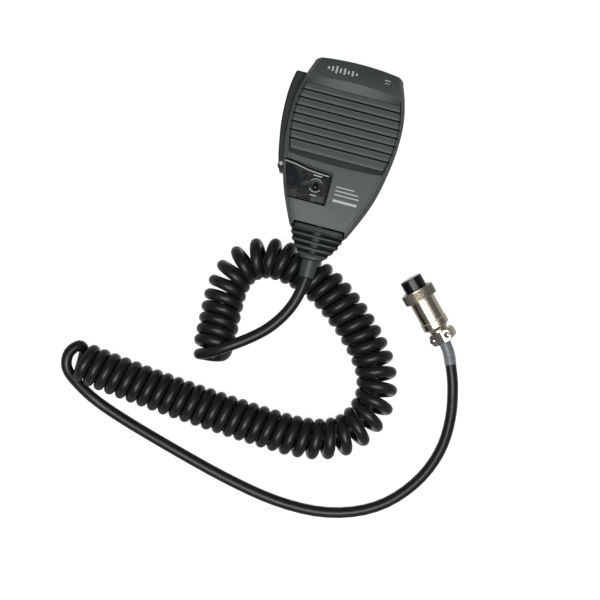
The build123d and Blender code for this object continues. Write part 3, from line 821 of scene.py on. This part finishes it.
    def leads(self) -> tuple[list[Vector], list[Vector]]:
        """Control points of the two leads, the second ending in the plug.

        Returns:
            The points of each lead, in metres.
        """
        place = plug_frame()
        first = [Vector(p) * MM for p in self.mic_lead]
        second = [Vector(p) * MM for p in self.plug_lead]
        second += [place @ Vector((0, 0, s * MM)) for s in self.plug_ends]
        return first, second

    def sleeve(self) -> bpy.types.Object:
        """Clear sleeve that follows the cord where it leaves the plug.

        Returns:
            The piece.
        """
        line = self.walk(self.leads()[1])
        line.reverse()
        start, end = (e * MM for e in self.sleeve_ends)
        travelled, points = 0.0, []
        for a, b in zip(line, line[1:]):
            travelled += (b - a).length
            if start < travelled < end:
                points.append(b)
        curve = self.smooth("sleeve_line", points[::6] + [points[-1]], 4)
        curve.data.bevel_depth = self.sleeve_r * MM
        curve.data.bevel_resolution = 10
        bm = tube(curve)
        bmesh.ops.solidify(bm, geom=bm.faces[:], thickness=self.sleeve_wall * MM)
        return make_piece("clear_sleeve_tube", bm, CLEAR, Body.CASE, ("clear_sleeve",))

    def build(self, with_pieces: list) -> None:
        """Args:
            with_pieces: the pieces that sit on the cord; not used.
        """
        first, second = self.leads()
        cord = self.smooth("cord", first + self.turns() + second, 4)
        cord.data.bevel_depth = self.diameter / 2
        cord.data.bevel_resolution = 6
        cord.data.use_fill_caps = True
        cord.data.materials.append(CORD_BLACK.material())
        bpy.context.scene.collection.objects.link(cord)
        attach(cord, Body.CASE.value)
        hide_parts("cord_lead_mic", "curly_cord", "cord_lead_plug")
        sleeve = self.sleeve()


# ---- Plug ----
@dataclass
class Plug:
    """Round screw-on plug. Heights are distances back from the front of its nose, in mm."""

    clamp_turn: float = 30.0
    clamp: tuple = (31.6, 38.2)

    def put(self, bm: bmesh.types.BMesh) -> bmesh.types.BMesh:
        """Move a mesh that was made about +Z to the plug's place."""
        bmesh.ops.transform(bm, matrix=plug_frame(), verts=bm.verts)
        return bm

    def ring(self) -> bpy.types.Object:
        """Coupling ring with a diamond knurl.

        Returns:
            The piece.
        """
        count, rows, front, back = 46, 8, 7.1, 11.9
        outer, depth = 9.0, 0.34
        pitch = (back - front) / rows
        profile = [(7.55, 6.6), (8.55, 6.6), (8.72, 6.72), (8.72, 7.0)]
        profile += [(outer, front + pitch * k) for k in range(rows + 1)]
        profile += [(8.72, 12.0), (8.72, 12.28), (8.55, 12.4), (6.55, 12.4), (6.55, 11.1),
                    (7.55, 11.1)]
        bm = spun(profile, 2 * count)
        for v in bm.verts:
            reach = v.co.xy.length
            row = (v.co.z / MM - front) / pitch
            if reach > 8.9 * MM and abs(row - round(row)) < 0.01:
                column = round(v.co.xy.angle_signed(Vector((1, 0))) / (pi / count))
                if (column + round(row)) % 2:
                    v.co.xy *= (outer - depth) / outer
        knurled = [f for f in bm.faces if f.calc_center_median().xy.length > 8.75 * MM]
        bmesh.ops.triangulate(bm, faces=knurled, quad_method="SHORT_EDGE")
        return make_piece("coupling_ring_knurled", self.put(bm), RING_NICKEL, Body.RING,
                          ("coupling_ring",), 20)

    def seam_bead(self) -> bpy.types.Object:
        """Fine raised bead where the barrel meets the rear shell."""
        bead = [(7.05, 24.75), (7.42, 24.85), (7.5, 25.1), (7.42, 25.35), (7.05, 25.45)]
        return make_piece("barrel_bead", self.put(spun(bead)), SATIN, Body.CASE)

    def clamp_place(self) -> Matrix:
        """Place of the cord clamp, which is turned on the plug's axis."""
        return plug_frame() @ Matrix.Rotation(radians(self.clamp_turn), 4, "Z")

    def saddle(self) -> bpy.types.Object:
        """Loose half of the cord clamp: a strap over the cord with two ears.

        Returns:
            The piece.
        """
        bore, side, low, high = 3.36, 6.2, 0.35, 4.3
        steps = 14
        arch = [(bore * cos(pi * k / steps), max(low, bore * sin(pi * k / steps)))
                for k in range(steps + 1)]
        crown = [(-side, low), (-side, 2.6), (-3.9, 3.3), (-2.2, high), (2.2, high), (3.9, 3.3),
                 (side, 2.6), (side, low)]
        bm = bmesh.new()
        front, back = self.clamp
        verts = [bm.verts.new((x * MM, y * MM, front * MM)) for x, y in arch + crown]
        push(bm, verts, (0, 0, (back - front) * MM))
        bmesh.ops.recalc_face_normals(bm, faces=bm.faces)
        upright = [e for e in bm.edges if abs(abs(e.verts[0].co.x) - side * MM) < 1e-6
                   and abs(abs(e.verts[1].co.x) - side * MM) < 1e-6
                   and abs(e.verts[0].co.z - e.verts[1].co.z) < 1e-6]
        bmesh.ops.bevel(bm, geom=upright, offset=2.2 * MM, offset_type="OFFSET", segments=6,
                        profile=0.5, affect="EDGES", clamp_overlap=True, material=-1)
        soften(bm, 0.3, 28, 3)
        bmesh.ops.transform(bm, matrix=self.clamp_place(), verts=bm.verts)
        return make_piece("clamp_saddle_cast", bm, CAST_NICKEL, Body.CASE,
                          ("clamp_saddle",), 50)

    def screw_heads(self) -> bpy.types.Object:
        """Slotted dome heads and shanks of the two clamp screws.

        Returns:
            The piece.
        """
        whole = bmesh.new()
        for x, turn in ((-4.5, 70), (4.5, 25)):
            bm = spun([(0, 0), (1.7, 0), (1.7, 0.55), (1.5, 0.95), (1.0, 1.2), (0, 1.3)], 40)
            bmesh.ops.bisect_plane(bm, geom=bm.verts[:] + bm.edges[:] + bm.faces[:],
                                   plane_co=(0.26 * MM, 0, 0), plane_no=(1, 0, 0),
                                   clear_inner=True)
            bmesh.ops.edgeloop_fill(bm, edges=[e for e in bm.edges if e.is_boundary])
            bmesh.ops.mirror(bm, geom=bm.verts[:] + bm.edges[:] + bm.faces[:],
                             matrix=Matrix.Identity(4), merge_dist=0, axis="X")
            bmesh.ops.create_cone(bm, cap_ends=True, segments=40, radius1=1.6 * MM,
                                  radius2=1.6 * MM, depth=0.5 * MM,
                                  matrix=Matrix.Translation((0, 0, 0.3 * MM)))
            bmesh.ops.create_cone(bm, cap_ends=True, segments=24, radius1=0.9 * MM,
                                  radius2=0.9 * MM, depth=8.0 * MM,
                                  matrix=Matrix.Translation((0, 0, -3.9 * MM)))
            bmesh.ops.recalc_face_normals(bm, faces=bm.faces)
            place = (self.clamp_place() @ Matrix.Translation(Vector((x, 2.9, 34.9)) * MM)
                     @ Matrix.Rotation(-pi / 2, 4, "X") @ Matrix.Rotation(radians(turn), 4, "Z"))
            bmesh.ops.transform(bm, matrix=place, verts=bm.verts)
            part = bpy.data.meshes.new("part")
            bm.to_mesh(part)
            bm.free()
            whole.from_mesh(part)
            bpy.data.meshes.remove(part)
        return make_piece("clamp_screws_slotted", whole, BRIGHT, Body.CASE,
                          ("clamp_screws",), 35)

    def build(self) -> list:
        """Make the plug.

        Returns:
            The pieces that sit on the cord.
        """
        dress(NOSE_BLACK, "plug_insert")
        dress(GOLD, "plug_contacts")
        dress(NICKEL, "plug_barrel", "plug_rear_shell", "ring_retainer")
        dress(STEEL, "barrel_screw")
        names = ("plug_insert", "plug_contacts", "plug_barrel", "barrel_screw",
                 "plug_rear_shell", "ring_retainer")
        return [self.ring(), self.saddle(), self.screw_heads(), self.seam_bead(), *names]


# ---- Microphone ----
@dataclass
class Grille:
    """Slatted insert of the front face. Millimetres."""

    top: float = 27.18
    end: float = -7.38
    first: float = 23.6
    pitch: float = 4.32
    grooves: int = 7
    groove: float = 0.66
    # Section of a slat: distance below its upper edge and height.
    section: tuple = ((0, 34.68), (0.2, 34.82), (0.5, 34.80), (1.0, 34.78), (1.8, 34.84),
                      (2.6, 34.84), (3.2, 34.75), (3.45, 34.67), (3.66, 34.5))

    def half_width(self, y: float) -> float:
        """Half the window's width at its floor."""
        return 26.78 - 2.45 * ((y - 10.3) / 17.4) ** 2

    def prism(self, bm: bmesh.types.BMesh, outline: list) -> None:
        """Add a prism across the window whose ends follow the window's sides.

        Args:
            bm: the mesh that gets it.
            outline: (y, z) points of its section.
        """
        verts = [bm.verts.new((-1, y * MM, z * MM)) for y, z in outline]
        moved = push(bm, verts, (2, 0, 0))
        for v in verts + moved:
            v.co.x *= self.half_width(v.co.y / MM) * MM

    def build(self) -> None:
        """Make the slats and the plate under them."""
        bm = bmesh.new()
        starts = [self.top] + [self.first - self.pitch * k - self.groove / 2
                               for k in range(self.grooves)]
        ends = [self.first - self.pitch * k + self.groove / 2
                for k in range(self.grooves)] + [self.end]
        for high, low in zip(starts, ends):
            scale = (high - low) / self.section[-1][0]
            outline = [(high - d * scale, z) for d, z in self.section]
            self.prism(bm, [(high, 32.9), *outline, (low, 32.9)])
        self.prism(bm, [(self.top, 32.4), (self.top, 32.95)]
                   + [(self.top - (self.top - self.end) * k / 12, 32.95) for k in range(1, 13)]
                   + [(self.top - (self.top - self.end) * k / 12, 32.4) for k in range(12, 0, -1)])
        bmesh.ops.recalc_face_normals(bm, faces=bm.faces)
        # Groove floors, the plate under the slats and the slats' upright end walls take the
        # second, near-black finish: painted shade in the grooves.
        for face in bm.faces:
            middle = face.calc_center_median()
            face.material_index = int(abs(face.normal.x) < 0.5 and (
                middle.z < 33.2 * MM or abs(face.normal.y) > 0.98))
        make_piece("grille_slats", bm, GRILLE_GREY, Body.CASE, ("grille",), 24,
                   (RECESS_SHADE,))
        self.notches()

    def notches(self) -> None:
        """Dark blocks set in the notches of the window's sides, one at each groove's ends: painted
        shade in the notches.
        """
        bm = bmesh.new()
        for k in range(self.grooves):
            y = self.first - self.pitch * k
            for side in (-1, 1):
                place = (Matrix.Translation(
                    Vector((side * (self.half_width(y) + 0.22), y - 0.35, 33.9)) * MM)
                    @ Matrix.Rotation(radians(side * 35), 4, "Z")
                    @ Matrix.Diagonal((1.66 * MM, 0.84 * MM, 1.1 * MM, 1)))
                bmesh.ops.create_cube(bm, size=1.0, matrix=place)
        make_piece("grille_notch_shade", bm, RECESS_SHADE, Body.CASE)


@dataclass
class CordBoot:
    """Ribbed rubber boot and its tapering sleeve. Millimetres."""

    # Body: (y, half width, half height, middle height, squareness).
    body: tuple = ((-45.3, 14.7, 8.1, 24.1, 4.0), (-52.0, 12.1, 6.7, 25.3, 3.6),
                   (-57.4, 8.2, 5.4, 26.9, 3.0), (-60.3, 4.95, 4.9, 27.9, 2.2),
                   (-61.2, 4.6, 4.6, 28.0, 2.0))
    ribs: tuple = ((-45.3, -46.2), (-47.5, -49.1), (-50.7, -52.4), (-53.8, -55.7),
                   (-56.9, -60.2))
    segments: int = 72

    def ring(self, bm: bmesh.types.BMesh, y: float, wide: float, tall: float, z: float,
             square: float) -> list:
        """Add a rounded ring across the boot.

        Args:
            bm: the mesh that gets it.
            y: where along the boot.
            wide: half its width.
            tall: half its height.
            z: height of its middle.
            square: exponent of its shape, 2 for an ellipse.

        Returns:
            Its edges.
        """
        made = bmesh.ops.create_circle(bm, segments=self.segments, radius=1.0)["verts"]
        for v in made:
            reach = (abs(v.co.x) ** square + abs(v.co.y) ** square) ** (-1 / square)
            v.co = (v.co.x * reach * wide * MM, y * MM, (z + v.co.y * reach * tall) * MM)
        return list({e for v in made for e in v.link_edges})

    def at(self, y: float, cut: float) -> tuple:
        """Ring of the body at y, cut in by a share of the full groove.

        Args:
            y: where along the boot.
            cut: share of the full groove, 0 to 1.

        Returns:
            What ring() takes.
        """
        for near, far in zip(self.body, self.body[1:]):
            if y >= far[0]:
                break
        share = min(1.0, max(0.0, (y - near[0]) / (far[0] - near[0])))
        wide, tall, z, square = (a + (b - a) * share for a, b in zip(near[1:], far[1:]))
        return y, wide - 0.6 * cut, tall - 2.4 * cut, z, square

    def build(self) -> None:
        """Make the boot as one closed skin with a bore."""
        rings = [(-43.1, 12.5, 5.0, 26.1, 6.0), (-43.2, 12.9, 5.4, 26.1, 6.0),
                 (-43.45, 13.1, 5.55, 26.1, 6.0), (-45.2, 13.1, 5.55, 26.1, 6.0)]
        for start, end in self.ribs:
            rings += [self.at(start + 0.02, 1), self.at(start - 0.05, 0.35),
                      self.at(start - 0.3, 0.08), self.at(start - 0.6, 0),
                      self.at(end + 0.5, 0), self.at(end + 0.22, 0.08),
                      self.at(end + 0.04, 0.35), self.at(end, 1)]
        rings += [(-60.6, 4.5, 4.5, 28, 2), (-61.5, 4.42, 4.42, 28, 2),
                  (-69.1, 3.92, 3.92, 28, 2), (-69.4, 3.8, 3.8, 28, 2), (-69.5, 3.6, 3.6, 28, 2),
                  (-69.5, 3.0, 3.0, 28, 2), (-69.0, 2.92, 2.92, 28, 2),
                  (-43.2, 2.92, 2.92, 28, 2)]
        bm = bmesh.new()
        loops = [self.ring(bm, *ring) for ring in rings]
        for k, (a, b) in enumerate(zip(loops, loops[1:] + loops[:1])):
            faces = bmesh.ops.bridge_loops(bm, edges=a + b)["faces"]
            for face in faces:
                # Groove floors between the ribs and the foot of the ribs' lower walls take the
                # second, near-black finish: painted shade in the grooves.
                face.material_index = int(8 <= k - 3 <= 35 and (k - 3) % 8 in (0, 7))
        bmesh.ops.recalc_face_normals(bm, faces=bm.faces)
        make_piece("cord_boot_ribbed", bm, BOOT_RUBBER, Body.CASE, ("cord_boot",), 40,
                   (RECESS_SHADE,))
        self.nub()

    def nub(self) -> None:
        """Moulding nub between the first two ribs, and the gate mark on the sleeve."""
        bm = bmesh.new()
        for radius, place in ((0.42, (-0.8, -46.85, 30.1)), (0.36, (-1.1, -62.7, 32.05))):
            bmesh.ops.create_uvsphere(bm, u_segments=16, v_segments=10, radius=radius * MM,
                                      matrix=Matrix.Translation(Vector(place) * MM))
        make_piece("cord_boot_nub", bm, BOOT_RUBBER, Body.CASE)


@dataclass
class Marks:
    """Plain printed marks on the case. Millimetres."""

    lift: float = 0.02
    ink: float = 0.03
    tree: BVHTree | None = None

    def land(self, *names: str) -> None:
        """Take the faces that marks can be printed on."""
        bm = bmesh.new()
        for name in names:
            mesh = frame["nodes"][name].data.copy()
            mesh.transform(frame["nodes"][name].matrix_world)
            bm.from_mesh(mesh)
            bpy.data.meshes.remove(mesh)
        self.tree = BVHTree.FromBMesh(bm)
        bm.free()

    def bar(self, bm: bmesh.types.BMesh, x: float, y: float, wide: float, tall: float) -> None:
        """Add a flat bar about a point.

        Args:
            bm: the mesh that gets it.
            x: its middle across the case.
            y: its middle along the case.
            wide: its width.
            tall: its height.
        """
        place = Matrix.Translation((x * MM, y * MM, 0)) @ Matrix.Diagonal(
            (wide / 2 * MM, tall / 2 * MM, 1, 1))
        bmesh.ops.create_grid(bm, x_segments=max(2, ceil(wide)), y_segments=2, size=1.0,
                              matrix=place)

    def arc(self, bm: bmesh.types.BMesh, centre: tuple, radius: float, width: float,
            start: float, sweep: float) -> None:
        """Add a flat arc about a point, its angles in degrees from +X.

        Args:
            bm: the mesh that gets it.
            centre: the point.
            radius: radius of its middle line.
            width: its width.
            start: angle at which it starts.
            sweep: angle that it runs over.
        """
        a, b = (bm.verts.new(((centre[0] + r) * MM, centre[1] * MM, 0))
                for r in (radius - width / 2, radius + width / 2))
        edge = bm.edges.new((a, b))
        middle = Vector((*centre, 0)) * MM
        bmesh.ops.rotate(bm, verts=[a, b], cent=middle,
                         matrix=Matrix.Rotation(radians(start), 3, "Z"))
        bmesh.ops.spin(bm, geom=[a, b, edge], cent=middle, axis=(0, 0, 1),
                       angle=radians(sweep), steps=max(4, ceil(abs(sweep) / 8)))

    def print(self, name: str, bm: bmesh.types.BMesh) -> None:
        """Drop flat shapes on the case and give them an ink's thickness.

        Args:
            name: the piece's name.
            bm: the flat shapes.
        """
        bmesh.ops.remove_doubles(bm, verts=bm.verts, dist=WELD)
        for v in bm.verts:
            hit = self.tree.ray_cast(Vector((v.co.x, v.co.y, 0.06)), Vector((0, 0, -1)))[0]
            v.co.z = hit.z + self.lift * MM
        bmesh.ops.recalc_face_normals(bm, faces=bm.faces)
        if sum(f.normal.z for f in bm.faces) < 0:
            bmesh.ops.reverse_faces(bm, faces=bm.faces)
        bmesh.ops.solidify(bm, geom=bm.faces[:], thickness=self.ink * MM)
        bmesh.ops.recalc_face_normals(bm, faces=bm.faces)
        make_piece(name, bm, INK, Body.CASE)

    def build(self) -> None:
        """Print the marks."""
        self.land("front_shell", "switch_panel")
        bm = bmesh.new()
        for k, tall in enumerate((1.4, 2.6, 3.8, 2.2, 3.2, 1.8, 2.8, 1.2)):
            self.bar(bm, -15.6 + 2.1 * k, 37.1, 0.95, tall)
        self.print("mark_sound_wave", bm)
        bm = bmesh.new()
        for start in (40, 95):
            self.arc(bm, (15.3, 35.2), 1.5, 0.32, start, 45)
        self.bar(bm, 15.3, 38.0, 3.0, 0.45)
        self.print("mark_sound_hole", bm)
        bm = bmesh.new()
        for y, wide, tall in ((-20.9, 9.5, 0.55), (-22.9, 12.0, 0.55), (-24.9, 13.0, 0.55),
                              (-28.0, 12.6, 1.3)):
            self.bar(bm, 3.3 + wide / 2, y, wide, tall)
        self.print("mark_lines", bm)
        bm = bmesh.new()
        self.arc(bm, (-7.1, -22.8), 3.4, 0.3, 35, 110)
        self.arc(bm, (-7.1, -22.8), 3.4, 0.3, 215, 110)
        self.bar(bm, -7.1, -17.9, 4.6, 0.5)
        self.bar(bm, -7.1, -28.0, 3.6, 0.5)
        self.print("mark_switch", bm)


@dataclass
class Microphone:
    """The case and all that it carries. Millimetres."""

    # Height of the gloss panel at panel_y, and its fall towards the cord.
    panel_z: float = 33.86
    panel_y: float = -16.0
    panel_fall: float = 0.085
    lip_r: float = 0.5
    lip_sink: float = 0.28
    lip: tuple = ((-25.2, -13.4), (-19.4, -14.0), (-12.9, -15.35), (-6.5, -15.95),
                  (-1.6, -16.15), (-0.75, -16.8), (-0.55, -18.0), (-0.55, -24), (-0.55, -30.2),
                  (-0.85, -31.0), (-1.9, -31.4), (-8, -31.5), (-18.9, -31.5))

    # Sloping edge: width, fall across it and depth, and how far in from the lip it starts.
    edge: tuple = (0.5, 0.11, 0.4)
    edge_in: float = 0.4
    edge_lift: float = 0.12
    # Leaf spring seen from the front: clip, bend and free end, then its height.
    leaf: tuple = ((-21.25, 18.0), (-21.6, 18.0), (-21.6, 12.3), (-26.1, 7.3), (-25.85, 7.0),
                   (-21.25, 12.1))
    leaf_z: tuple = (17.6, 22.6)
    leaf_keep: float = 0.7

    def height(self, y: float) -> float:
        """Height of the gloss panel at y."""
        return self.panel_z + self.panel_fall * (y - self.panel_y)

    def panel_lip_shade(self) -> None:
        """Fine raised lip along the gloss panel's edge, near-black and partly sunk, standing for
        the shaded wall of the panel's pocket: painted shade.
        """
        curve = Cord().smooth("lip", [Vector((x, y, self.height(y) - self.lip_sink)) * MM
                                      for x, y in self.lip], 4)
        curve.data.bevel_depth = self.lip_r * MM
        curve.data.bevel_resolution = 3
        curve.data.use_fill_caps = True
        bm = tube(curve)
        make_piece("panel_lip_shade", bm, RECESS_SHADE, Body.CASE, (), 50)

    def sloping_edge(self) -> None:
        """Gloss edge inside the lip along the panel's top, sloped so that it catches light."""
        wide, fall, deep = self.edge
        bm, loops = bmesh.new(), []
        for x, y in self.lip[:5]:
            top = self.height(y) + self.edge_lift
            made = bmesh.ops.create_circle(bm, segments=4, radius=1.0)["verts"]
            for v, (across, z) in zip(made, ((0, top), (wide, top - fall),
                                             (wide, top - deep), (0, top - deep))):
                v.co = Vector((x, y - self.edge_in - across, z)) * MM
            loops.append(list({e for v in made for e in v.link_edges}))
        for a, b in zip(loops, loops[1:]):
            bmesh.ops.bridge_loops(bm, edges=a + b)
        for loop in (loops[0], loops[-1]):
            bmesh.ops.holes_fill(bm, edges=loop, sides=4)
        bmesh.ops.recalc_face_normals(bm, faces=bm.faces)
        make_piece("panel_top_edge", bm, LIP_BLACK, Body.CASE)

    def leaf_spring(self) -> None:
        """Leaf spring behind the lever, on a mesh of its own."""
        bm = bmesh.new()
        edge = [bm.verts.new(Vector((x, y, self.leaf_z[0])) * MM) for x, y in self.leaf]
        push(bm, edge, (0, 0, (self.leaf_z[1] - self.leaf_z[0]) * MM))
        bmesh.ops.recalc_face_normals(bm, faces=bm.faces)
        leaf = make_piece("lever_leaf", bm, STEEL, Body.CASE, ("ptt_spring",))
        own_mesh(leaf)

    def build(self) -> None:
        """Dress the case and its parts."""
        dress(CASE_GREY, "front_shell", "back_shell")
        dress(LEVER_BLACK, "ptt_lever", "up_button", "down_button")
        dress(PANEL_BLACK, "switch_panel")
        dress(KNOB_BLACK, "lock_knob")
        dress(INNER_BLACK, "lock_switch", "ptt_switch", "ptt_plunger", "up_switch",
              "down_switch", "up_plunger", "down_plunger", "cord_cleat")
        dress(STEEL, "case_screws", "board_screws", "cleat_screws",
              "hanger_screw")
        dress(PIN_STEEL, "ptt_pin")
        dress(CAST_NICKEL, "hanger_button")
        dress(SILICONE, "capsule_holder")
        dress(CAN, "mic_capsule")
        dress(BOARD, "circuit_board")
        dress(WIRES, "inner_wires")
        dress(CORD_BLACK, "cord_inner")
        self.leaf_spring()
        self.panel_lip_shade()
        self.sloping_edge()
        Grille().build()
        CordBoot().build()
        Marks().build()


def main() -> None:
    """Make the studio, the cord, the plug and the microphone in turn."""
    logging.basicConfig(level=logging.INFO, format="%(message)s")
    Studio().build()
    plug_pieces = Plug().build()
    Cord().build(plug_pieces)
    Microphone().build()


if __name__ == "__main__":
    main()
